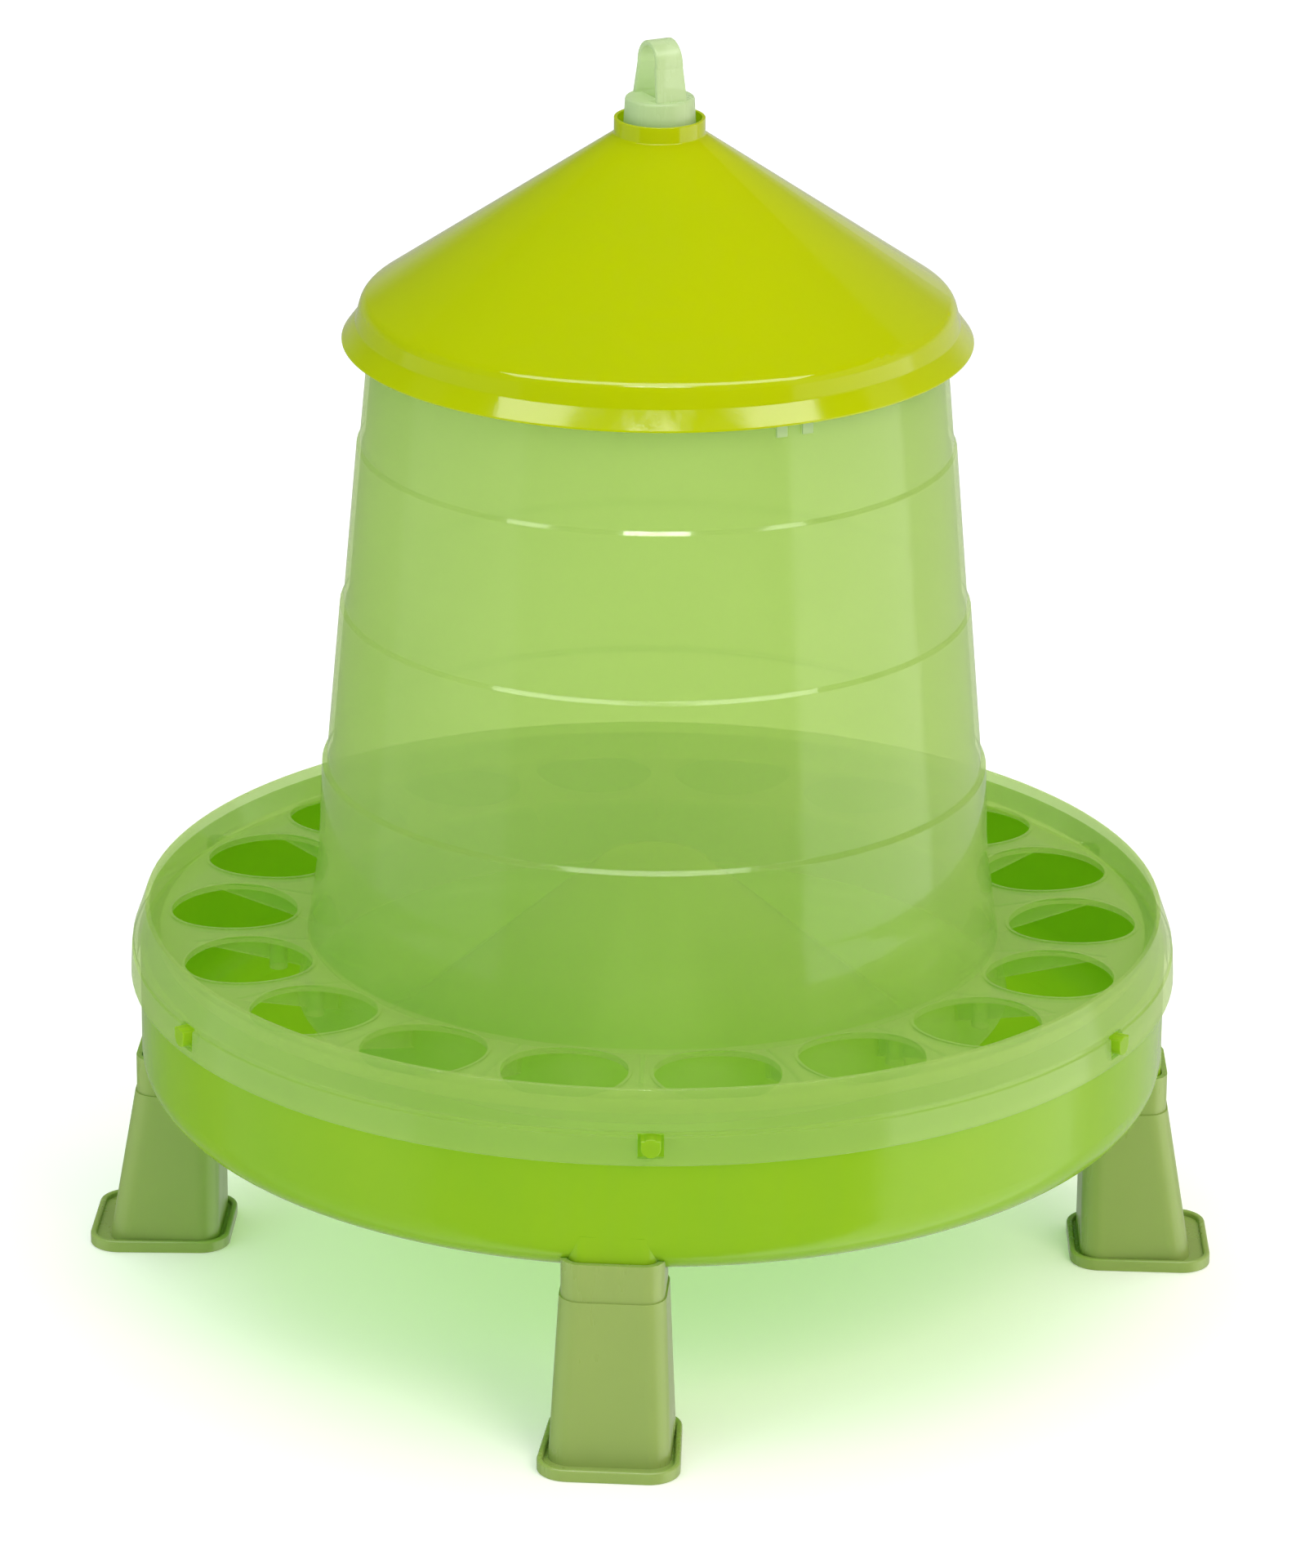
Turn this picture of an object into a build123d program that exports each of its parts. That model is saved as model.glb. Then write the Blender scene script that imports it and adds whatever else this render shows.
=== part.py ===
"""Poultry hopper feeder: tray with a feed cone, clear hopper with a ring of
feeding ports, lift-off lid, hanging loop and four push-on legs.

Millimetres, +Z up, origin on the feeder's axis at floor level, -Y is the front.
Azimuths are turned from the front towards +X.
"""
import os

from build123d import *

os.makedirs("parts", exist_ok=True)

# ---------------------------------------------------------------- driving dimensions
RING_BASE = 112.0  # height of the ring skirt's lower edge above the floor
RING_RADIUS = 190.0  # outer radius of the ring at that edge
WALL = 1.8  # wall of the hopper, ring and lid
TRAY_WALL = 2.0
LEG_WALL = 2.0
RUNNING_GAP = 0.35  # between surfaces of pieces that come apart
EDGE_ROUNDING = 0.5  # on the free edges of the thin walls
FINE_ROUNDING = 0.2  # on the smallest corners

# Hopper, radii of its outer face and heights above the ring skirt's lower edge
MOUTH_RADIUS = 101.3
MOUTH_H = 251.0
STEPS = ((105.8, 106.9, 199.5), (111.9, 113.2, 140.0), (118.3, 120.0, 79.8))
STEP_DROP = 1.5
STEP_ROUNDING = 0.4
WAIST_RADIUS = 121.4
WAIST_H = 45.0
WAIST_ROUNDING = 60.0
NECK_RADIUS = 125.4  # where the wall meets the ring's deck
OUTLET_RADIUS = 129.9  # lower edge of the wall, inside the tray
OUTLET_H = -10.0
NECK_OFFSET = 0.4  # the wall's outside widens by this through the deck's thickness

# Ring
DECK_CROWN_RADIUS = 152.0
DECK_CROWN_H = 18.3
DECK_EDGE_H = 16.6
DECK_OUTER_RADIUS = 179.2
RIM_INNER_RADIUS = 183.0
RIM_OUTER_RADIUS = 184.6
RIM_H = 26.2
BAND_RADIUS = 189.2  # foot of the slanted band
BAND_H = 12.8
RIM_ROOF = 3.0  # thickness of the ring over the hollow of its rim
GROOVE_RADIUS = 188.7
GROOVE_TOP_H = 12.4
GROOVE_FOOT_H = 10.9
SKIRT_TOP_RADIUS = 189.5
SKIRT_TOP_H = 10.5

# Feeding ports, the gusset under each bar between them, and moulding bosses
PORT_COUNT = 18
PORT_PITCH = 360 / PORT_COUNT
PORT_AZIMUTH = 8.65
PORT_CENTRE_RADIUS = 152.6
PORT_LENGTH = 46.0
PORT_WIDTH = 44.5
LIP_WIDTH = 1.1
LIP_HEIGHT = 0.5
GUSSET_THICKNESS = 1.8
GUSSET_FOOT_H = 4.7
GUSSET_END_RADIUS = 170.0
GUSSET_ROOT = 0.45  # inside the neck's wall
BOSS_DIAMETER = 6.6
BOSS_RADIUS_AT = 137.0
BOSS_FOOT_H = 4.6
BOSS_GROUPS = 3
BOSS_BARS = (-3.5, -4.5)  # bars that carry a boss, in port pitches from the first port
BOSS_ROOT = 1.3  # below the deck's crown, inside its wall

# Snap pegs of the tray and their windows in the ring's skirt
PEG_COUNT = 6
PEG_WIDTH = 7.0
PEG_FOOT_H = 4.1
PEG_TOP_H = 10.4
PEG_TIP_RADIUS = 192.6
WINDOW_WIDTH = 9.0
WINDOW_DEPTH = 8.0
WINDOW_FOOT_H = 2.9
WINDOW_TOP_H = 11.8

# Tray
TRAY_RADIUS = 186.5  # outside of its wall
TRAY_RIM_H = 10.9
TRAY_FOOT_H = -44.5
TRAY_CORNER = 16.0
CONE_TOP_RADIUS = 18.5
CONE_TOP_H = 40.0
CONE_FOOT_RADIUS = 112.0
CONE_TOP_ROUNDING = 5.0
CONE_FOOT_ROUNDING = 25.0

# Lid
COLLAR_RADIUS = 16.1
COLLAR_WALL = 1.2
COLLAR_FLAT = 0.12  # between the roundings on top of the collar's wall
COLLAR_ROUNDING = 0.8
COLLAR_TOP_H = 318.2
COLLAR_FOOT_H = 312.4
LID_SHOULDER_RADIUS = 105.2
LID_SHOULDER_H = 251.8
LID_SKIRT_RADIUS = 107.2
LID_SKIRT_H = 244.3
LID_CORNER_DROP = 0.45  # of the inner corner below the outer one
BRIM_RADIUS = 112.5
BRIM_H = 237.3
SHOULDER_ROUNDING = 6.0
SKIRT_ROUNDING = 1.5

# Hanger
HANGER_AZIMUTH = 27.0
CAP_TOP_RADIUS = 12.2
CAP_MID_RADIUS = 12.9
CAP_MID_H = 313.0
CAP_TOP_H = 325.7
CAP_ROUNDING = 1.2
POST_RADIUS = 13.2
LOOP_TOP_H = 346.0
LOOP_SHOULDER_H = 337.0
LOOP_HALF_SPAN = 10.0
LOOP_SHOULDER_HALF_SPAN = 7.6
LOOP_THICKNESS = 2.0
LOOP_WIDTH = 12.0
LOOP_TOP_WIDTH = 9.6
CAP_SLOT_WIDTH = 6.0  # slot in the cap between the loop's two feet
CAP_SLOT_HALF_DEPTH = 3.6
STRAP_ROUNDING = 0.6
BAR_TOP_H = 245.4
BAR_FOOT_H = 240.6
BAR_WIDTH = 14.0
BAR_WALL = 2.0
BAR_SOLID_END = 7.2  # each end of the bar is solid from here to the hopper's mouth
WEB_FOOT_RADIUS = 58.0
WEB_TOP_H = 290.0
PRONG_INNER_RADIUS = 103.3
PRONG_OUTER_RADIUS = 104.3
PRONG_FOOT_H = 231.0
PRONG_WIDTH = 4.0
NOTCH_WIDTH = 15.0
NOTCH_FOOT_H = 240.0

# Legs
LEG_AZIMUTHS = {"leg_front": -4.0, "leg_right": 90.0, "leg_back": 176.0, "leg_left": 267.0}
LEG_INNER_RADIUS = 158.6
LEG_FOOT_OUTER_RADIUS = 199.6
LEG_TOP_OUTER_RADIUS = 189.4
LEG_FOOT_WIDTH = 43.0
LEG_TOP_WIDTH = 37.4
LEG_CORNER = 8.0
LEG_SHOULDER_H = -52.0
COLLAR_INSET = 0.6
LEG_TIP_H = -38.0
FLANGE_INNER_RADIUS = 155.0
FLANGE_OUTER_RADIUS = 206.5
FLANGE_INNER_WIDTH = 46.0
FLANGE_OUTER_WIDTH = 51.0
FLANGE_CORNER = 11.0
FLANGE_THICKNESS = 2.6
BEAD_HEIGHT = 4.5
BEAD_WIDTH = 2.2
BEAD_ROUNDING = 0.9
SPIGOT_LENGTH = 23.0
SPIGOT_WALL = 2.0


def ring_z(height):
    """Height above the floor of a height above the ring skirt's lower edge."""
    return RING_BASE + height


def at(radius, height):
    """Profile point: radius, and height above the ring skirt's lower edge."""
    return (radius, ring_z(height))


def facing(azimuth):
    """Plane at floor level, +X pointing outwards at an azimuth from the front."""
    return Plane.XY.rotated((0, 0, azimuth - 90))


def upright(azimuth):
    """Upright plane through the axis: +X outwards, +Y up."""
    base = facing(azimuth)
    return Plane(origin=(0, 0, 0), x_dir=base.x_dir, z_dir=base.x_dir.cross(Vector(0, 0, 1)))


def wall_line():
    """Hopper wall: up the outside from the deck, over the mouth and down the inside."""
    outer = []
    inner = []
    for above, below, height in STEPS:
        outer.append(at(above, height + STEP_DROP / 2))
        outer.append(at(below, height - STEP_DROP / 2))
        inner.append(at(above - WALL, height))
        inner.append(at(below - WALL, height - STEP_DROP))
    step_roundings = [STEP_ROUNDING] * len(outer)
    FilletPolyline(
        at(NECK_RADIUS, DECK_EDGE_H),
        at(WAIST_RADIUS, WAIST_H),
        *reversed(outer),
        at(MOUTH_RADIUS, MOUTH_H),
        at(MOUTH_RADIUS - WALL, MOUTH_H),
        *inner,
        at(WAIST_RADIUS - WALL, WAIST_H),
        at(NECK_RADIUS - WALL, DECK_EDGE_H),
        at(OUTLET_RADIUS - WALL, OUTLET_H),
        at(OUTLET_RADIUS, OUTLET_H),
        at(NECK_RADIUS + NECK_OFFSET, DECK_EDGE_H - WALL),
        radius=[
            WAIST_ROUNDING,
            *step_roundings,
            EDGE_ROUNDING,
            EDGE_ROUNDING,
            *step_roundings,
            WAIST_ROUNDING,
            WAIST_ROUNDING,
            EDGE_ROUNDING,
            EDGE_ROUNDING,
        ],
    )


def rim_line():
    """Ring's edge: up from the deck, over the rim, down the skirt and back inside."""
    FilletPolyline(
        at(DECK_OUTER_RADIUS, DECK_EDGE_H),
        at(RIM_INNER_RADIUS, RIM_H),
        at(RIM_OUTER_RADIUS, RIM_H),
        at(BAND_RADIUS, BAND_H),
        at(GROOVE_RADIUS, GROOVE_TOP_H),
        at(GROOVE_RADIUS, GROOVE_FOOT_H),
        at(SKIRT_TOP_RADIUS, SKIRT_TOP_H),
        at(RING_RADIUS, 0),
        at(RING_RADIUS - WALL, 0),
        at(BAND_RADIUS - WALL, BAND_H - WALL / 2),
        at(RIM_OUTER_RADIUS - WALL / 2, RIM_H - RIM_ROOF),
        at(DECK_OUTER_RADIUS + WALL, DECK_EDGE_H - WALL / 2),
        at(DECK_OUTER_RADIUS, DECK_EDGE_H - WALL),
        radius=[
            EDGE_ROUNDING,
            EDGE_ROUNDING,
            FINE_ROUNDING,
            FINE_ROUNDING,
            FINE_ROUNDING,
            FINE_ROUNDING,
            EDGE_ROUNDING,
            EDGE_ROUNDING,
            EDGE_ROUNDING,
            EDGE_ROUNDING,
            EDGE_ROUNDING,
        ],
    )


def hopper_outline():
    """Wall, deck, rim and skirt, as one closed line of the hopper moulding."""
    wall_line()
    ThreePointArc(
        at(NECK_RADIUS + NECK_OFFSET, DECK_EDGE_H - WALL),
        at(DECK_CROWN_RADIUS, DECK_CROWN_H - WALL),
        at(DECK_OUTER_RADIUS, DECK_EDGE_H - WALL),
    )
    rim_line()
    ThreePointArc(
        at(NECK_RADIUS, DECK_EDGE_H),
        at(DECK_CROWN_RADIUS, DECK_CROWN_H),
        at(DECK_OUTER_RADIUS, DECK_EDGE_H),
    )


def deck_arc(raise_by):
    """The deck's crowned top, from the neck to the rim, raised by a distance."""
    ThreePointArc(
        at(NECK_RADIUS, DECK_EDGE_H + raise_by),
        at(DECK_CROWN_RADIUS, DECK_CROWN_H + raise_by),
        at(DECK_OUTER_RADIUS, DECK_EDGE_H + raise_by),
    )


# ---------------------------------------------------------------- hopper with its ring
with BuildPart() as port_lips:
    with BuildSketch(Plane.XZ):
        with BuildLine():
            deck_arc(LIP_HEIGHT)
            deck_arc(-WALL / 2)
            Line(at(NECK_RADIUS, DECK_EDGE_H + LIP_HEIGHT), at(NECK_RADIUS, DECK_EDGE_H - WALL / 2))
            Line(
                at(DECK_OUTER_RADIUS, DECK_EDGE_H + LIP_HEIGHT),
                at(DECK_OUTER_RADIUS, DECK_EDGE_H - WALL / 2),
            )
        make_face()
    revolve(axis=Axis.Z)
    with BuildSketch(Plane.XY.offset(ring_z(0))):
        with PolarLocations(PORT_CENTRE_RADIUS, PORT_COUNT, start_angle=PORT_AZIMUTH - 90):
            Ellipse(PORT_LENGTH / 2 + LIP_WIDTH, PORT_WIDTH / 2 + LIP_WIDTH)
    extrude(amount=RIM_H, mode=Mode.INTERSECT)

with BuildPart() as hopper:
    with BuildSketch(Plane.XZ):
        with BuildLine():
            hopper_outline()
        make_face()
    revolve(axis=Axis.Z)
    add(port_lips.part)
    for k in range(PORT_COUNT):
        bar = PORT_AZIMUTH + (k + 0.5) * PORT_PITCH
        with BuildSketch(upright(bar)):
            with BuildLine():
                Polyline(
                    at(GUSSET_END_RADIUS, DECK_CROWN_H - WALL),
                    at(OUTLET_RADIUS - WALL, GUSSET_FOOT_H),
                    at(NECK_RADIUS + WALL / 2, GUSSET_FOOT_H),
                    at(NECK_RADIUS - GUSSET_ROOT, DECK_EDGE_H - WALL / 2),
                )
                ThreePointArc(
                    at(NECK_RADIUS - GUSSET_ROOT, DECK_EDGE_H - WALL / 2),
                    at(DECK_CROWN_RADIUS, DECK_CROWN_H - WALL / 2),
                    at(GUSSET_END_RADIUS, DECK_CROWN_H - WALL),
                )
            make_face()
        extrude(amount=GUSSET_THICKNESS / 2, both=True)
    for group in range(BOSS_GROUPS):
        for bar in BOSS_BARS:
            boss_azimuth = PORT_AZIMUTH + bar * PORT_PITCH + group * 360 / BOSS_GROUPS
            with BuildSketch(facing(boss_azimuth).offset(ring_z(BOSS_FOOT_H))):
                with Locations((BOSS_RADIUS_AT, 0)):
                    Circle(BOSS_DIAMETER / 2)
            extrude(amount=DECK_CROWN_H - BOSS_ROOT - BOSS_FOOT_H)
    with BuildSketch(Plane.XY.offset(ring_z(GUSSET_FOOT_H + WALL))):
        with PolarLocations(PORT_CENTRE_RADIUS, PORT_COUNT, start_angle=PORT_AZIMUTH - 90):
            Ellipse(PORT_LENGTH / 2, PORT_WIDTH / 2)
    extrude(amount=RIM_H, mode=Mode.SUBTRACT)
    with Locations((0, 0, ring_z((WINDOW_FOOT_H + WINDOW_TOP_H) / 2))):
        with PolarLocations(RING_RADIUS, PEG_COUNT, start_angle=-90):
            Box(WINDOW_DEPTH, WINDOW_WIDTH, WINDOW_TOP_H - WINDOW_FOOT_H, mode=Mode.SUBTRACT)
    with BuildSketch(facing(HANGER_AZIMUTH).offset(ring_z(NOTCH_FOOT_H))):
        Rectangle(2 * BRIM_RADIUS, NOTCH_WIDTH)
    extrude(amount=MOUTH_H - NOTCH_FOOT_H + WALL, mode=Mode.SUBTRACT)

# ---------------------------------------------------------------- tray
leg_mid_radius = (LEG_INNER_RADIUS + LEG_TOP_OUTER_RADIUS) / 2
collar_length = LEG_TOP_OUTER_RADIUS - LEG_INNER_RADIUS - 2 * COLLAR_INSET
collar_width = LEG_TOP_WIDTH - 2 * COLLAR_INSET
spigot_length = collar_length - 2 * LEG_WALL - 2 * RUNNING_GAP
spigot_width = collar_width - 2 * LEG_WALL - 2 * RUNNING_GAP


def tray_line(inset):
    """Tray section from the axis out to the rim, moved in from its outside."""
    FilletPolyline(
        at(0, CONE_TOP_H - TRAY_WALL + inset),
        at(CONE_TOP_RADIUS, CONE_TOP_H - TRAY_WALL + inset),
        at(CONE_FOOT_RADIUS, TRAY_FOOT_H + inset),
        at(TRAY_RADIUS - inset, TRAY_FOOT_H + inset),
        at(TRAY_RADIUS - inset, TRAY_RIM_H),
        radius=[CONE_TOP_ROUNDING, CONE_FOOT_ROUNDING, TRAY_CORNER - inset],
    )


with BuildPart() as tray:
    for azimuth in LEG_AZIMUTHS.values():
        with BuildSketch(facing(azimuth).offset(ring_z(TRAY_FOOT_H - SPIGOT_LENGTH))):
            with Locations((leg_mid_radius, 0)):
                RectangleRounded(spigot_length, spigot_width, LEG_CORNER - LEG_WALL)
                RectangleRounded(
                    spigot_length - 2 * SPIGOT_WALL,
                    spigot_width - 2 * SPIGOT_WALL,
                    LEG_CORNER - LEG_WALL - SPIGOT_WALL,
                    mode=Mode.SUBTRACT,
                )
        extrude(amount=SPIGOT_LENGTH + TRAY_CORNER)
    with BuildSketch(Plane.XZ):
        with BuildLine():
            tray_line(TRAY_WALL / 2)
            Polyline(
                at(TRAY_RADIUS - TRAY_WALL / 2, TRAY_RIM_H),
                at(TRAY_RADIUS - TRAY_WALL / 2, 2 * CONE_TOP_H),
                at(0, 2 * CONE_TOP_H),
                at(0, CONE_TOP_H - TRAY_WALL / 2),
            )
        make_face()
    revolve(axis=Axis.Z, mode=Mode.SUBTRACT)
    with BuildSketch(Plane.XZ):
        with BuildLine():
            tray_line(0)
            tray_line(TRAY_WALL)
            Line(at(0, CONE_TOP_H - TRAY_WALL), at(0, CONE_TOP_H))
            Line(at(TRAY_RADIUS, TRAY_RIM_H), at(TRAY_RADIUS - TRAY_WALL, TRAY_RIM_H))
        make_face()
    revolve(axis=Axis.Z)
    rim_height = ring_z(TRAY_RIM_H)
    fillet(tray.edges().filter_by_position(Axis.Z, rim_height, rim_height), EDGE_ROUNDING)

with BuildPart() as peg:
    with BuildSketch(Plane.XZ.offset(TRAY_RADIUS - TRAY_WALL / 2)):
        with Locations((0, ring_z(PEG_FOOT_H + PEG_WIDTH / 2))):
            Circle(PEG_WIDTH / 2)
        with Locations((0, ring_z(PEG_TOP_H))):
            Rectangle(
                PEG_WIDTH,
                PEG_TOP_H - PEG_FOOT_H - PEG_WIDTH / 2,
                align=(Align.CENTER, Align.MAX),
            )
    extrude(amount=PEG_TIP_RADIUS - TRAY_RADIUS + TRAY_WALL / 2)
    fillet(peg.faces().sort_by(Axis.Y)[0].edges(), EDGE_ROUNDING)

with tray:
    with PolarLocations(0, PEG_COUNT):
        add(peg.part)

# ---------------------------------------------------------------- lid
collar_inner_radius = COLLAR_RADIUS - COLLAR_WALL
collar_mid_radius = COLLAR_RADIUS - COLLAR_WALL / 2
with BuildPart() as lid:
    with BuildSketch(Plane.XZ):
        with BuildLine():
            FilletPolyline(
                at(collar_mid_radius + COLLAR_FLAT / 2, COLLAR_TOP_H),
                at(COLLAR_RADIUS, COLLAR_TOP_H),
                at(COLLAR_RADIUS, COLLAR_FOOT_H),
                at(LID_SHOULDER_RADIUS, LID_SHOULDER_H),
                at(LID_SKIRT_RADIUS, LID_SKIRT_H),
                at(BRIM_RADIUS, BRIM_H),
                at(BRIM_RADIUS - WALL, BRIM_H),
                at(LID_SKIRT_RADIUS - WALL, LID_SKIRT_H - LID_CORNER_DROP),
                at(LID_SHOULDER_RADIUS - WALL, LID_SHOULDER_H - WALL / 2),
                at(collar_inner_radius, COLLAR_FOOT_H - WALL / 2),
                at(collar_inner_radius, COLLAR_TOP_H),
                at(collar_mid_radius - COLLAR_FLAT / 2, COLLAR_TOP_H),
                radius=[
                    FINE_ROUNDING,
                    COLLAR_ROUNDING,
                    SHOULDER_ROUNDING,
                    SKIRT_ROUNDING,
                    EDGE_ROUNDING,
                    EDGE_ROUNDING,
                    SKIRT_ROUNDING,
                    SHOULDER_ROUNDING - WALL,
                    COLLAR_ROUNDING,
                    FINE_ROUNDING,
                ],
            )
            Line(
                at(collar_mid_radius - COLLAR_FLAT / 2, COLLAR_TOP_H),
                at(collar_mid_radius + COLLAR_FLAT / 2, COLLAR_TOP_H),
            )
        make_face()
    revolve(axis=Axis.Z)

# ---------------------------------------------------------------- hanger
across = Plane(
    origin=(0, 0, 0), x_dir=facing(HANGER_AZIMUTH).y_dir, z_dir=facing(HANGER_AZIMUTH).x_dir
)
with BuildPart() as hanger:
    with BuildSketch(facing(HANGER_AZIMUTH).offset(ring_z(BAR_FOOT_H))):
        Rectangle(2 * PRONG_OUTER_RADIUS, BAR_WIDTH)
    extrude(amount=BAR_TOP_H - BAR_FOOT_H)
    with BuildSketch(facing(HANGER_AZIMUTH).offset(ring_z(BAR_FOOT_H))):
        Rectangle(2 * (MOUTH_RADIUS - BAR_SOLID_END), BAR_WIDTH - 2 * BAR_WALL)
    extrude(amount=BAR_TOP_H - BAR_FOOT_H - BAR_WALL, mode=Mode.SUBTRACT)
    for side in (-1, 1):
        for edge in (-1, 1):
            with BuildSketch(facing(HANGER_AZIMUTH).offset(ring_z(PRONG_FOOT_H))):
                with Locations(
                    (
                        side * (PRONG_INNER_RADIUS + PRONG_OUTER_RADIUS) / 2,
                        edge * (BAR_WIDTH - PRONG_WIDTH) / 2,
                    )
                ):
                    Rectangle(PRONG_OUTER_RADIUS - PRONG_INNER_RADIUS, PRONG_WIDTH)
            extrude(amount=BAR_TOP_H - PRONG_FOOT_H)
    with BuildSketch(upright(HANGER_AZIMUTH)):
        with BuildLine():
            Polyline(
                at(-WEB_FOOT_RADIUS, BAR_TOP_H - BAR_WALL),
                at(WEB_FOOT_RADIUS, BAR_TOP_H - BAR_WALL),
                at(CAP_TOP_RADIUS, WEB_TOP_H),
                at(-CAP_TOP_RADIUS, WEB_TOP_H),
                close=True,
            )
        make_face()
    extrude(amount=BAR_WALL / 2, both=True)
    with BuildSketch(Plane.XZ):
        with BuildLine():
            Polyline(
                at(0, CAP_TOP_H),
                at(0, BAR_TOP_H - BAR_WALL),
                at(POST_RADIUS, BAR_TOP_H - BAR_WALL),
                at(CAP_MID_RADIUS, CAP_MID_H),
            )
            FilletPolyline(
                at(CAP_MID_RADIUS, CAP_MID_H),
                at(CAP_TOP_RADIUS, CAP_TOP_H),
                at(0, CAP_TOP_H),
                radius=CAP_ROUNDING,
            )
        make_face()
    revolve(axis=Axis.Z)
    with BuildSketch(Plane.XZ):
        with BuildLine():
            Polyline(
                at(0, BAR_FOOT_H),
                at(POST_RADIUS - WALL, BAR_FOOT_H),
                at(CAP_MID_RADIUS - WALL, CAP_MID_H),
                at(CAP_TOP_RADIUS - WALL, CAP_TOP_H - WALL),
                at(0, CAP_TOP_H - WALL),
                close=True,
            )
        make_face()
    revolve(axis=Axis.Z, mode=Mode.SUBTRACT)
    with BuildSketch(facing(HANGER_AZIMUTH).offset(ring_z(CAP_TOP_H - CAP_SLOT_HALF_DEPTH))):
        Rectangle(2 * (LOOP_HALF_SPAN - LOOP_THICKNESS), CAP_SLOT_WIDTH)
    extrude(amount=2 * CAP_SLOT_HALF_DEPTH, mode=Mode.SUBTRACT)

with BuildPart() as loop:
    with BuildSketch(upright(HANGER_AZIMUTH)):
        with BuildLine():
            right_side = Line(
                at(LOOP_HALF_SPAN, CAP_TOP_H - WALL), at(LOOP_SHOULDER_HALF_SPAN, LOOP_SHOULDER_H)
            )
            top = ThreePointArc(
                right_side @ 1, at(0, LOOP_TOP_H), at(-LOOP_SHOULDER_HALF_SPAN, LOOP_SHOULDER_H)
            )
            left_side = Line(top @ 1, at(-LOOP_HALF_SPAN, CAP_TOP_H - WALL))
            Line(left_side @ 1, right_side @ 0)
        make_face()
        with BuildLine(mode=Mode.PRIVATE) as opening:
            inner_right = Line(
                at(LOOP_HALF_SPAN - LOOP_THICKNESS, CAP_TOP_H - WALL),
                at(LOOP_SHOULDER_HALF_SPAN - LOOP_THICKNESS, LOOP_SHOULDER_H),
            )
            inner_top = ThreePointArc(
                inner_right @ 1,
                at(0, LOOP_TOP_H - LOOP_THICKNESS),
                at(LOOP_THICKNESS - LOOP_SHOULDER_HALF_SPAN, LOOP_SHOULDER_H),
            )
            inner_left = Line(inner_top @ 1, at(LOOP_THICKNESS - LOOP_HALF_SPAN, CAP_TOP_H - WALL))
            Line(inner_left @ 1, inner_right @ 0)
        make_face(opening.edges(), mode=Mode.SUBTRACT)
    extrude(amount=LOOP_WIDTH / 2, both=True)
    with BuildSketch(across):
        with BuildLine():
            Polyline(
                (-LOOP_WIDTH / 2, ring_z(CAP_TOP_H - WALL)),
                (LOOP_WIDTH / 2, ring_z(CAP_TOP_H - WALL)),
                (LOOP_TOP_WIDTH / 2, ring_z(LOOP_TOP_H)),
                (-LOOP_TOP_WIDTH / 2, ring_z(LOOP_TOP_H)),
                close=True,
            )
        make_face()
    extrude(amount=2 * LOOP_HALF_SPAN, both=True, mode=Mode.INTERSECT)
    strap_faces = loop.faces().sort_by(Axis((0, 0, 0), facing(HANGER_AZIMUTH).y_dir))
    strap_edges = strap_faces[0].edges() + strap_faces[-1].edges()
    loop_foot = ring_z(CAP_TOP_H)
    fillet(strap_edges.filter_by(lambda edge: edge.center().Z > loop_foot), STRAP_ROUNDING)

with hanger:
    add(loop.part)

# ---------------------------------------------------------------- legs
foot_mid_radius = (LEG_INNER_RADIUS + LEG_FOOT_OUTER_RADIUS) / 2
foot_length = LEG_FOOT_OUTER_RADIUS - LEG_INNER_RADIUS
top_length = LEG_TOP_OUTER_RADIUS - LEG_INNER_RADIUS

with BuildPart() as tray_space:
    with BuildSketch(Plane.XZ):
        with BuildLine():
            FilletPolyline(
                at(0, TRAY_FOOT_H - RUNNING_GAP),
                at(TRAY_RADIUS + RUNNING_GAP, TRAY_FOOT_H - RUNNING_GAP),
                at(TRAY_RADIUS + RUNNING_GAP, 0),
                radius=[TRAY_CORNER + RUNNING_GAP],
            )
            Polyline(
                at(TRAY_RADIUS + RUNNING_GAP, 0), at(0, 0), at(0, TRAY_FOOT_H - RUNNING_GAP)
            )
        make_face()
    revolve(axis=Axis.Z)


def shaft(azimuth, inset, mode):
    """Tapered leg shaft from the floor to its shoulder, moved in by an inset."""
    with BuildSketch(facing(azimuth)) as foot:
        with Locations((foot_mid_radius, 0)):
            RectangleRounded(
                foot_length - 2 * inset, LEG_FOOT_WIDTH - 2 * inset, LEG_CORNER - inset
            )
    with BuildSketch(facing(azimuth).offset(ring_z(LEG_SHOULDER_H))) as shoulder:
        with Locations((leg_mid_radius, 0)):
            RectangleRounded(top_length - 2 * inset, LEG_TOP_WIDTH - 2 * inset, LEG_CORNER - inset)
    loft(sections=[foot.sketch.face(), shoulder.sketch.face()], mode=mode)


def flange(azimuth, inset, top, mode):
    """Slab in the outline of the leg's foot, moved in by an inset."""
    with BuildSketch(facing(azimuth)) as outline:
        with BuildLine():
            Polyline(
                (FLANGE_INNER_RADIUS + inset, inset - FLANGE_INNER_WIDTH / 2),
                (FLANGE_OUTER_RADIUS - inset, inset - FLANGE_OUTER_WIDTH / 2),
                (FLANGE_OUTER_RADIUS - inset, FLANGE_OUTER_WIDTH / 2 - inset),
                (FLANGE_INNER_RADIUS + inset, FLANGE_INNER_WIDTH / 2 - inset),
                close=True,
            )
        make_face()
        fillet(outline.vertices(), FLANGE_CORNER - inset)
    extrude(outline.sketch.face(), amount=top, mode=mode)


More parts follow.
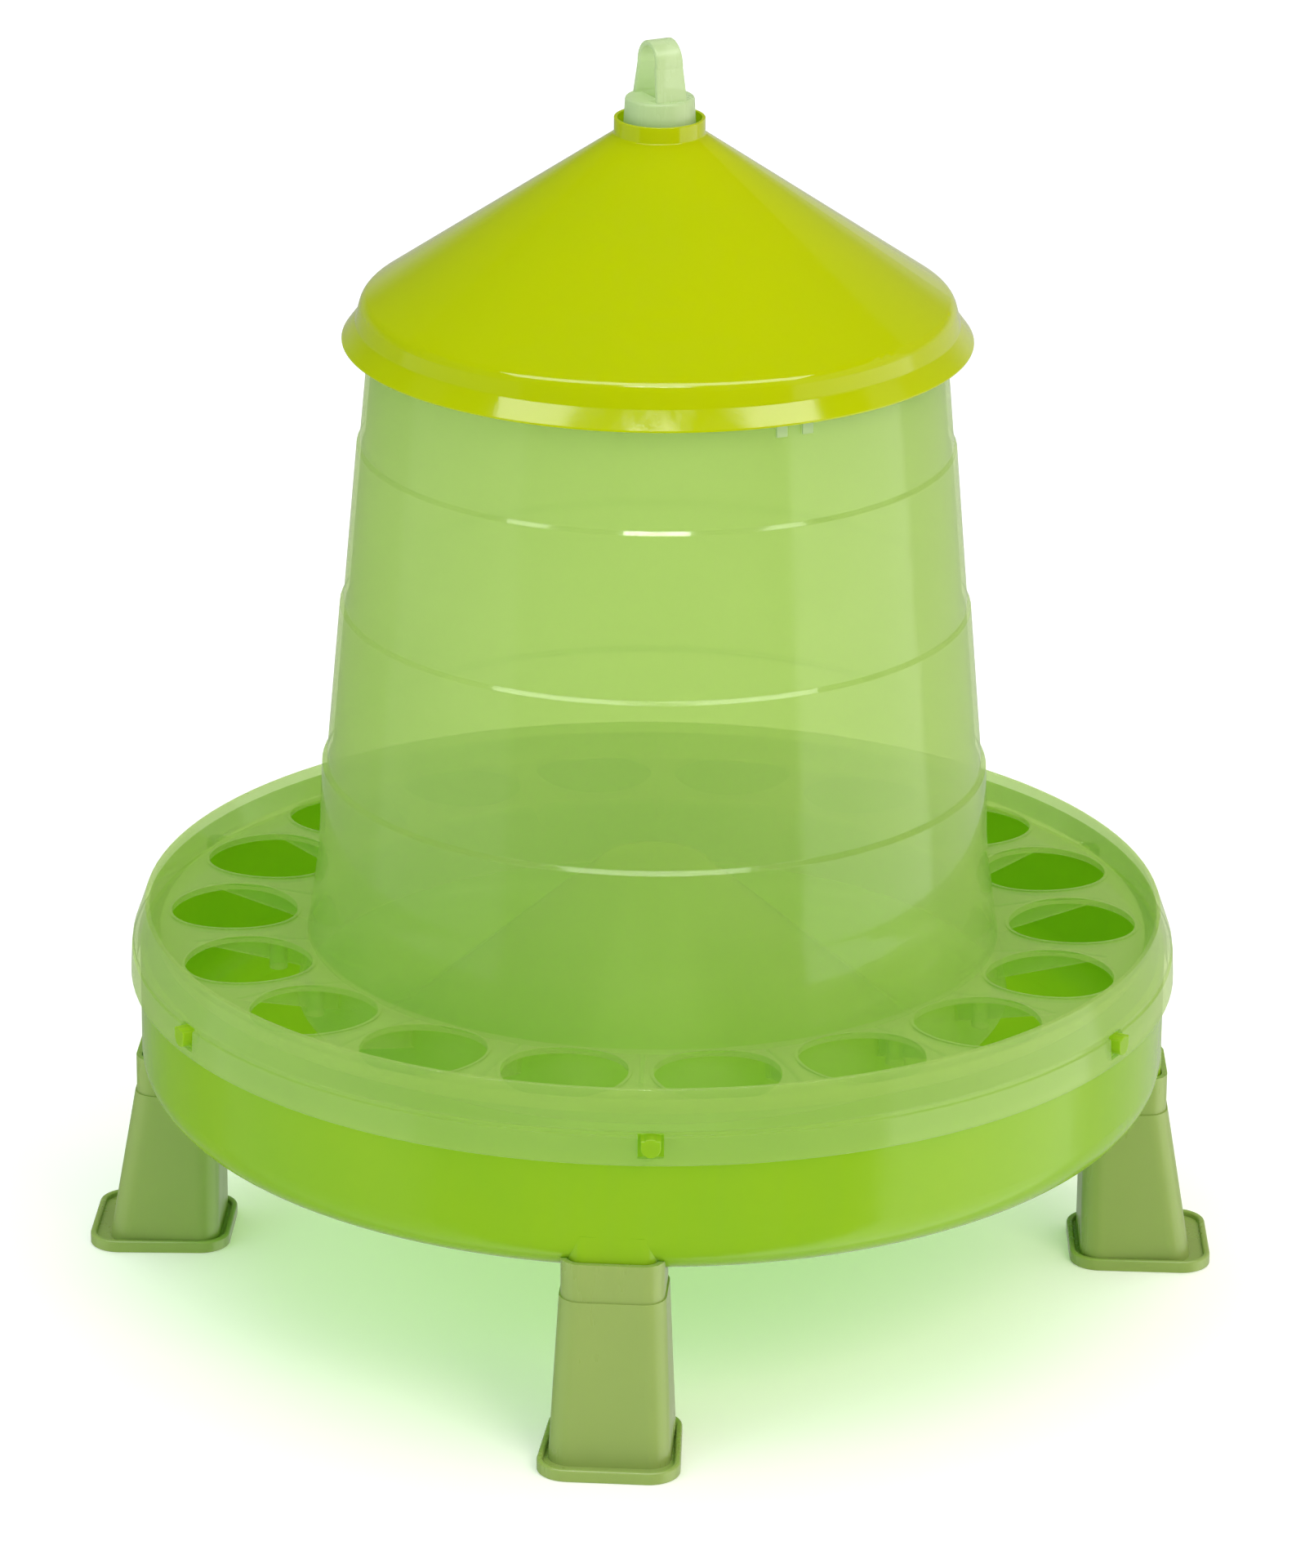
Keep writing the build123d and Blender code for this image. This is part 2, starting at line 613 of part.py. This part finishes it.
def make_leg(azimuth):
    """One leg: shaft, collar that follows the tray's rounded wall, and foot."""
    with BuildPart() as leg:
        flange(azimuth, 0, BEAD_HEIGHT, Mode.ADD)
        fillet(leg.faces().sort_by(Axis.Z)[0].edges(), EDGE_ROUNDING)
        flange(azimuth, BEAD_WIDTH, BEAD_HEIGHT, Mode.SUBTRACT)
        bead_edges = leg.edges().filter_by_position(Axis.Z, BEAD_HEIGHT, BEAD_HEIGHT)
        fillet(bead_edges, BEAD_ROUNDING)
        flange(azimuth, BEAD_WIDTH / 2, FLANGE_THICKNESS, Mode.ADD)
        shaft(azimuth, 0, Mode.ADD)
        with BuildSketch(facing(azimuth).offset(ring_z(LEG_SHOULDER_H))):
            with Locations((leg_mid_radius, 0)):
                RectangleRounded(collar_length, collar_width, LEG_CORNER - COLLAR_INSET)
        extrude(amount=LEG_TIP_H - LEG_SHOULDER_H)
        shaft(azimuth, LEG_WALL, Mode.SUBTRACT)
        with BuildSketch(facing(azimuth).offset(ring_z(LEG_SHOULDER_H - LEG_WALL))):
            with Locations((leg_mid_radius, 0)):
                RectangleRounded(
                    collar_length - 2 * LEG_WALL,
                    collar_width - 2 * LEG_WALL,
                    LEG_CORNER - COLLAR_INSET - LEG_WALL,
                )
        extrude(amount=LEG_TIP_H - LEG_SHOULDER_H + 2 * LEG_WALL, mode=Mode.SUBTRACT)
        add(tray_space.part, mode=Mode.SUBTRACT)
    return leg


pieces = {"hopper": hopper, "tray": tray, "lid": lid, "hanger": hanger}
for leg_name, leg_azimuth in LEG_AZIMUTHS.items():
    pieces[leg_name] = make_leg(leg_azimuth)

for piece_name, piece in pieces.items():
    piece.part.label = piece_name
    export_step(piece.part, f"parts/{piece_name}.step")
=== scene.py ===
"""Poultry hopper feeder: materials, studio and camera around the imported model.

Metres, +Z up, origin on the feeder's axis at floor level, -Y is the front.
"""
import math

import bpy
from mathutils import Matrix, Vector

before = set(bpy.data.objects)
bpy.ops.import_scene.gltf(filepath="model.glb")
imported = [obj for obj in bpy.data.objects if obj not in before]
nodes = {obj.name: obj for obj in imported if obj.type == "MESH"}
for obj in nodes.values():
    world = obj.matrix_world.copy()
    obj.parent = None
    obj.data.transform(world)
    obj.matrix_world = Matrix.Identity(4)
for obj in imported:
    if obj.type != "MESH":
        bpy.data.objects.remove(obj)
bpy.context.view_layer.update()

# ---------------------------------------------------------------- camera
CAMERA_ELEVATION = 20.34  # degrees above the horizontal
CAMERA_ROLL = 0.5
CAMERA_TARGET = Vector((-0.0005, 0.0, 0.1808))
CAMERA_DISTANCE = 2.633
CAMERA_LENS = 166.9  # mm on a 36 mm long side

# ---------------------------------------------------------------- light
MIDDLE = (0, 0, 0.2)  # where the lamps look
FRONT_GAP = 0.616  # cosine of half the dark gap's angle, in front
FRONT_FADE = 0.03  # half the width of its soft edge
CEILING = 0.59  # sine of the elevation where the dark ceiling starts
CEILING_FADE = 0.012
WALL_LEFT = 0.6
WALL_RIGHT = 2.2
WALL_HIGH = 0.25  # share of the walls' light left above eye level
WALL_FADE = 0.25  # sine of the elevation where only that is left
SIDE_FADE = 0.9  # how far left and right one side turns into the other
WALL_BEHIND = 0.35  # and behind the feeder
BACK_START = -0.34  # cosine of the angle from the front where that starts
BACK_FADE = 0.04
GAP_LIGHT = 0.04
AMBIENT = 0.82  # light on matt surfaces from all round
AMBIENT_LEFT = (0.86, 0.98, 0.90)
AMBIENT_RIGHT = (1.0, 0.99, 0.95)
KEY = 15.0  # watts
KEY_COLOUR = (1.0, 0.92, 0.74)
FILL = 4.0
FILL_COLOUR = (0.7, 1.0, 0.8)
OVERHEAD = 36.0
STRIP = 12.0
LINE = 80.0
FLOOR_GLOW = 0.17  # keeps the floor white far from the lamps
FLOOR_HALF = 20.0
FLOOR_COLOUR = (0.92, 0.92, 0.92, 1)
FLOOR_ROUGHNESS = 0.9
FLOOR_SHINE = 0.1
CLEAR_BOUNCES = 24  # clear walls a ray may cross
MIX_A, MIX_B, MIX_RESULT = 6, 7, 2  # a Mix node's colour sockets

scene = bpy.context.scene
scene.view_settings.view_transform = "Standard"
scene.view_settings.look = "None"
scene.cycles.transparent_max_bounces = CLEAR_BOUNCES


def add_camera():
    """Camera in front of the feeder, looking down on it."""
    elevation = math.radians(CAMERA_ELEVATION)
    back = Vector((0, -math.cos(elevation), math.sin(elevation)))
    right = Vector((1, 0, 0))
    up = back.cross(right)
    roll = math.radians(CAMERA_ROLL)
    right_rolled = math.cos(roll) * right + math.sin(roll) * up
    up_rolled = back.cross(right_rolled)
    data = bpy.data.cameras.new("camera")
    data.sensor_width = 36
    data.sensor_fit = "AUTO"
    data.lens = CAMERA_LENS
    data.clip_end = 50
    camera = bpy.data.objects.new("camera", data)
    turn = Matrix((right_rolled, up_rolled, back)).transposed().to_4x4()
    camera.matrix_world = Matrix.Translation(CAMERA_TARGET + CAMERA_DISTANCE * back) @ turn
    scene.collection.objects.link(camera)
    scene.camera = camera


add_camera()


# ---------------------------------------------------------------- studio
def softbox(name, centre, aim, size, power, colour=(1, 1, 1)):
    """Rectangular area light looking at a point."""
    data = bpy.data.lights.new(name, "AREA")
    data.shape = "RECTANGLE"
    data.size, data.size_y = size
    data.energy = power
    data.color = colour
    light = bpy.data.objects.new(name, data)
    light.location = centre
    light.rotation_euler = (Vector(aim) - Vector(centre)).to_track_quat("-Z", "Y").to_euler()
    scene.collection.objects.link(light)
    return light


def surroundings():
    """White all round to the eye, matt light from all round, and walls to reflect.

    Reflections see bright walls, a dark ceiling and a dark gap in front.
    """
    world = bpy.data.worlds.new("studio")
    scene.world = world
    world.use_nodes = True
    links = world.node_tree.links

    def math_node(operation, *values):
        """Result of a Math node on sockets and numbers."""
        node = world.node_tree.nodes.new("ShaderNodeMath")
        node.operation = operation
        for socket, value in zip(node.inputs, values):
            if isinstance(value, (int, float)):
                socket.default_value = value
            else:
                links.new(value, socket)
        return node.outputs[0]

    def step(value, start, end, low=0.0, high=1.0):
        """Soft step from low to high as the value goes from start to end."""
        node = world.node_tree.nodes.new("ShaderNodeMapRange")
        node.interpolation_type = "SMOOTHSTEP"
        links.new(value, node.inputs["Value"])
        node.inputs["From Min"].default_value = start
        node.inputs["From Max"].default_value = end
        node.inputs["To Min"].default_value = low
        node.inputs["To Max"].default_value = high
        return node.outputs["Result"]

    place = world.node_tree.nodes.new("ShaderNodeTexCoord")
    parts = world.node_tree.nodes.new("ShaderNodeSeparateXYZ")
    links.new(place.outputs["Generated"], parts.inputs[0])
    x, y, z = parts.outputs
    squares = math_node("ADD", math_node("MULTIPLY", x, x), math_node("MULTIPLY", y, y))
    level = math_node("MAXIMUM", math_node("SQRT", squares), 0.001)
    frontal = math_node("DIVIDE", math_node("MULTIPLY", y, -1.0), level)
    front = step(frontal, FRONT_GAP - FRONT_FADE, FRONT_GAP + FRONT_FADE)
    ceiling = step(z, CEILING - CEILING_FADE, CEILING + CEILING_FADE)
    dark = math_node("MAXIMUM", front, ceiling)
    across = step(x, -SIDE_FADE, SIDE_FADE, WALL_LEFT, WALL_RIGHT)
    upwards = step(z, 0.0, WALL_FADE, 1.0, WALL_HIGH)
    beside = step(frontal, BACK_START - BACK_FADE, BACK_START + BACK_FADE, WALL_BEHIND, 1.0)
    wall = math_node("MULTIPLY", math_node("MULTIPLY", across, upwards), beside)
    lit = math_node("MULTIPLY", wall, math_node("SUBTRACT", 1.0, dark))
    strength = math_node("ADD", lit, math_node("MULTIPLY", dark, GAP_LIGHT))
    rays = world.node_tree.nodes.new("ShaderNodeLightPath")
    mirrored = math_node("MULTIPLY", strength, rays.outputs["Is Glossy Ray"])
    matt = math_node("MULTIPLY", rays.outputs["Is Diffuse Ray"], AMBIENT)
    seen = math_node("ADD", math_node("ADD", mirrored, matt), rays.outputs["Is Camera Ray"])
    side = world.node_tree.nodes.new("ShaderNodeMix")
    side.data_type = "RGBA"
    side.inputs[MIX_A].default_value = (*AMBIENT_LEFT, 1)
    side.inputs[MIX_B].default_value = (*AMBIENT_RIGHT, 1)
    links.new(step(x, -SIDE_FADE, SIDE_FADE), side.inputs["Factor"])
    tint = world.node_tree.nodes.new("ShaderNodeMix")
    tint.data_type = "RGBA"
    tint.inputs[MIX_A].default_value = (1, 1, 1, 1)
    links.new(side.outputs[MIX_RESULT], tint.inputs[MIX_B])
    links.new(rays.outputs["Is Diffuse Ray"], tint.inputs["Factor"])
    background = world.node_tree.nodes["Background"]
    links.new(tint.outputs[MIX_RESULT], background.inputs["Color"])
    links.new(seen, background.inputs["Strength"])


def lamps():
    """Soft lamps, some of them seen only by matt light and some only in reflections."""
    key = softbox("key", (1.0, -1.5, 1.5), MIDDLE, (1.0, 1.0), KEY, KEY_COLOUR)
    fill = softbox("fill", (-1.4, -1.2, 1.0), MIDDLE, (0.9, 0.9), FILL, FILL_COLOUR)
    top = softbox("overhead", (0.1, 0.9, 2.8), (0.1, 0.9, 0), (4.0, 3.4), OVERHEAD)
    for lamp in (key, fill, top):
        lamp.visible_glossy = False
    strip = softbox("strip", (0.0, -1.41, 2.14), MIDDLE, (0.8, 0.14), STRIP)
    line = softbox("line", (0.0, -0.85, 2.4), MIDDLE, (4.2, 0.7), LINE)
    for lamp in (strip, line):
        lamp.visible_diffuse = False


def add_floor():
    """Plain pale floor under the feet."""
    mesh = bpy.data.meshes.new("floor")
    signs = ((-1, -1), (1, -1), (1, 1), (-1, 1))
    corners = [(FLOOR_HALF * across, FLOOR_HALF * along, 0) for across, along in signs]
    mesh.from_pydata(corners, [], [(0, 1, 2, 3)])
    floor = bpy.data.objects.new("floor", mesh)
    scene.collection.objects.link(floor)
    material = bpy.data.materials.new("floor")
    material.use_nodes = True
    shader = material.node_tree.nodes["Principled BSDF"]
    shader.inputs["Base Color"].default_value = FLOOR_COLOUR
    shader.inputs["Roughness"].default_value = FLOOR_ROUGHNESS
    shader.inputs["Specular IOR Level"].default_value = FLOOR_SHINE
    shader.inputs["Emission Color"].default_value = (1, 1, 1, 1)
    shader.inputs["Emission Strength"].default_value = FLOOR_GLOW
    mesh.materials.append(material)
    floor.visible_glossy = False


surroundings()
lamps()
add_floor()


# ---------------------------------------------------------------- materials
MOTTLE_SCALE = 16.0  # noise scales per metre, from patches to grain
SKIN_SCALE = 55.0
SCUFF_SCALE = 260.0
GRAIN_SCALE = 900.0
MOTTLE_DETAIL = 4
SCUFF_DETAIL = 3
FINE_DETAIL = 2
SCUFF_STRETCH = (1, 1, 0.06)
SCUFF_ROUGHNESS = 0.06
NOISE_LOW = 0.3  # usual spread of a noise value
NOISE_HIGH = 0.7
SKIN_DEPTH = 0.002
GRAIN_DEPTH = 0.0002
RIM_BLEND = 0.35  # how early a wall turns denser towards its outline
SCATTER_RADIUS = (0.6, 1.0, 0.2)
SCATTER_SCALE = 0.01
LIGHT_THROUGH = 0.97  # share of the light that a clear wall lets in
LIGHT_INTO_TRAY = 0.7  # the same for the tray, which looks solid


class Tree:
    """Short hand for building one material's nodes."""

    def __init__(self, name):
        self.material = bpy.data.materials.new(name)
        self.material.use_nodes = True
        self.nodes = self.material.node_tree.nodes
        self.links = self.material.node_tree.links
        self.nodes.clear()

    def add(self, kind, **settings):
        """A node, with its properties set."""
        node = self.nodes.new(kind)
        for key, value in settings.items():
            setattr(node, key, value)
        return node

    def link(self, source, target):
        """A link from one socket to another."""
        self.links.new(source, target)


def noise(tree, coordinates, scale, detail, stretch=(1, 1, 1)):
    """Noise value in object space, stretched along an axis."""
    mapping = tree.add("ShaderNodeMapping")
    mapping.inputs["Scale"].default_value = stretch
    tree.link(coordinates, mapping.inputs["Vector"])
    texture = tree.add("ShaderNodeTexNoise")
    texture.inputs["Scale"].default_value = scale
    texture.inputs["Detail"].default_value = detail
    tree.link(mapping.outputs["Vector"], texture.inputs["Vector"])
    return texture.outputs["Fac"]


def spread(tree, value, low, high):
    """A noise value mapped from its usual spread to a range."""
    ranged = tree.add("ShaderNodeMapRange")
    ranged.inputs["From Min"].default_value = NOISE_LOW
    ranged.inputs["From Max"].default_value = NOISE_HIGH
    ranged.inputs["To Min"].default_value = low
    ranged.inputs["To Max"].default_value = high
    tree.link(value, ranged.inputs["Value"])
    return ranged.outputs["Result"]


def blend_colours(tree, factor, first, second):
    """Colour between two colours by a factor socket."""
    mix = tree.add("ShaderNodeMix", data_type="RGBA")
    mix.inputs[MIX_A].default_value = (*first, 1)
    mix.inputs[MIX_B].default_value = (*second, 1)
    tree.link(factor, mix.inputs["Factor"])
    return mix.outputs[MIX_RESULT]


def see_through(tree, surface, through, lets_in):
    """A surface mixed with clear: by angle for looks, and evenly for light that passes."""
    tint, facing_share, edge_share = through
    clear = tree.add("ShaderNodeBsdfTransparent")
    clear.inputs["Color"].default_value = (*tint, 1)
    angle = tree.add("ShaderNodeLayerWeight")
    angle.inputs["Blend"].default_value = RIM_BLEND
    share = tree.add("ShaderNodeMapRange")
    share.inputs["To Min"].default_value = facing_share
    share.inputs["To Max"].default_value = edge_share
    tree.link(angle.outputs["Facing"], share.inputs["Value"])
    rays = tree.add("ShaderNodeLightPath")
    lit = tree.add("ShaderNodeMath", operation="MAXIMUM")
    tree.link(rays.outputs["Is Shadow Ray"], lit.inputs[0])
    tree.link(rays.outputs["Is Diffuse Ray"], lit.inputs[1])
    light_share = tree.add("ShaderNodeMath", operation="MULTIPLY")
    light_share.inputs[1].default_value = lets_in
    tree.link(lit.outputs[0], light_share.inputs[0])
    most = tree.add("ShaderNodeMath", operation="MAXIMUM")
    tree.link(share.outputs["Result"], most.inputs[0])
    tree.link(light_share.outputs[0], most.inputs[1])
    mixed = tree.add("ShaderNodeMixShader")
    tree.link(most.outputs[0], mixed.inputs["Fac"])
    tree.link(surface, mixed.inputs[1])
    tree.link(clear.outputs["BSDF"], mixed.inputs[2])
    return mixed.outputs["Shader"]


def plastic(
    name,
    light,
    dark,
    rough=(0.2, 0.34),
    wave=0.12,
    through=None,
    lets_in=LIGHT_THROUGH,
    scatter=0.0,
    skin_bump=0.04,
    shine=0.4,
):
    """Moulded plastic: mottled colour, uneven gloss, scuffs and a faint wavy skin.

    through is the tint of what shows through each face, with its share for a
    facing and a grazing look; lets_in is the share of light that passes.
    """
    tree = Tree(name)
    place = tree.add("ShaderNodeTexCoord").outputs["Object"]
    mottle = noise(tree, place, MOTTLE_SCALE, MOTTLE_DETAIL)
    skin = noise(tree, place, SKIN_SCALE, FINE_DETAIL)
    grain = noise(tree, place, GRAIN_SCALE, FINE_DETAIL)
    scuffs = noise(tree, place, SCUFF_SCALE, SCUFF_DETAIL, SCUFF_STRETCH)
    shader = tree.add("ShaderNodeBsdfPrincipled")
    colour = blend_colours(tree, spread(tree, mottle, 0.0, 1.0), light, dark)
    tree.link(colour, shader.inputs["Base Color"])
    gloss = tree.add("ShaderNodeMath", operation="ADD")
    tree.link(spread(tree, scuffs, 0.0, SCUFF_ROUGHNESS), gloss.inputs[0])
    tree.link(spread(tree, mottle, rough[0], rough[1]), gloss.inputs[1])
    tree.link(gloss.outputs[0], shader.inputs["Roughness"])
    low = tree.add("ShaderNodeBump")
    low.inputs["Strength"].default_value = wave
    low.inputs["Distance"].default_value = SKIN_DEPTH
    tree.link(skin, low.inputs["Height"])
    fine = tree.add("ShaderNodeBump")
    fine.inputs["Strength"].default_value = skin_bump
    fine.inputs["Distance"].default_value = GRAIN_DEPTH
    tree.link(grain, fine.inputs["Height"])
    tree.link(low.outputs["Normal"], fine.inputs["Normal"])
    tree.link(fine.outputs["Normal"], shader.inputs["Normal"])
    shader.inputs["Specular IOR Level"].default_value = shine
    if scatter:
        shader.inputs["Subsurface Weight"].default_value = scatter
        shader.inputs["Subsurface Radius"].default_value = SCATTER_RADIUS
        shader.inputs["Subsurface Scale"].default_value = SCATTER_SCALE
    surface = shader.outputs["BSDF"]
    if through:
        surface = see_through(tree, surface, through, lets_in)
    output = tree.add("ShaderNodeOutputMaterial")
    tree.link(surface, output.inputs["Surface"])
    return tree.material


def finish_node(name, material):
    """Give a CAD node its material."""
    for slot in nodes[name].material_slots:
        slot.material = material


lid_plastic = plastic(
    "lid_lime",
    (0.41, 0.46, 0.0),
    (0.39, 0.45, 0.0),
    rough=(0.04, 0.07),
    wave=0.015,
    scatter=0.1,
    shine=0.3,
)
tray_plastic = plastic(
    "tray_lime",
    (0.255, 0.435, 0.012),
    (0.225, 0.415, 0.011),
    rough=(0.12, 0.2),
    through=((0.75, 1.0, 0.5), 0.0, 0.0),
    lets_in=LIGHT_INTO_TRAY,
    scatter=0.15,
    shine=0.25,
)
hopper_plastic = plastic(
    "hopper_clear",
    (0.42, 0.55, 0.19),
    (0.395, 0.53, 0.17),
    rough=(0.03, 0.06),
    wave=0.05,
    skin_bump=0.0,
    through=((0.87, 0.94, 0.68), 0.70, 0.34),
    shine=0.6,
)
hanger_plastic = plastic(
    "hanger_milky",
    (0.52, 0.62, 0.37),
    (0.48, 0.60, 0.33),
    through=((0.85, 0.93, 0.75), 0.35, 0.2),
)
leg_plastic = plastic("leg_olive", (0.295, 0.385, 0.105), (0.27, 0.365, 0.095), scatter=0.1)

finish_node("lid", lid_plastic)
finish_node("tray", tray_plastic)
finish_node("hopper", hopper_plastic)
finish_node("hanger", hanger_plastic)
for leg in ("leg_front", "leg_right", "leg_back", "leg_left"):
    finish_node(leg, leg_plastic)
